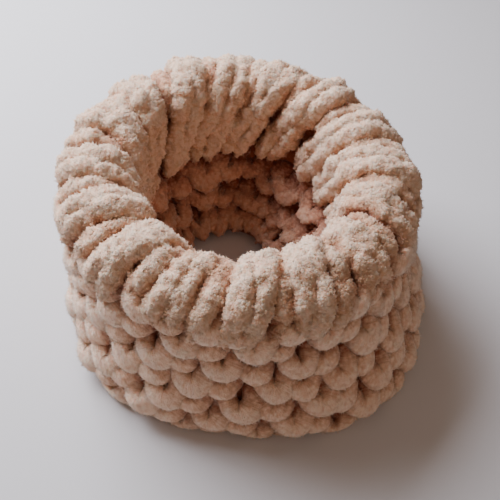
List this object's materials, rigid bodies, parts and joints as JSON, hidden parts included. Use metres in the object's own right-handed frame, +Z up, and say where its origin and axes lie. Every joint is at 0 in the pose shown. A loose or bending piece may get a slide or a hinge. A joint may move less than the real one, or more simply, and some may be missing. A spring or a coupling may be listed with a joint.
{
  "type": "neck warmer",
  "caption": "Chunky knitted neck warmer: a seamless tube folded in half, standing as a thick soft ring with scale-like loops outside, a twisted rolled rim and a round neck hollow.",
  "frame": {"origin": "middle of the object's box, on the surface that it stands on", "axes": "+Z up through the hollow, front towards -Y, +X to the right as seen from the front"},
  "size_m": [0.2926, 0.2918, 0.1527],
  "materials": {
    "chenille_yarn": "soft matt chenille pile"
  },
  "bodies": {
    "root": {"outer_layer": "chenille_yarn", "rolled_rim": "chenille_yarn", "inner_layer": "chenille_yarn"}
  },
  "joints": []
}
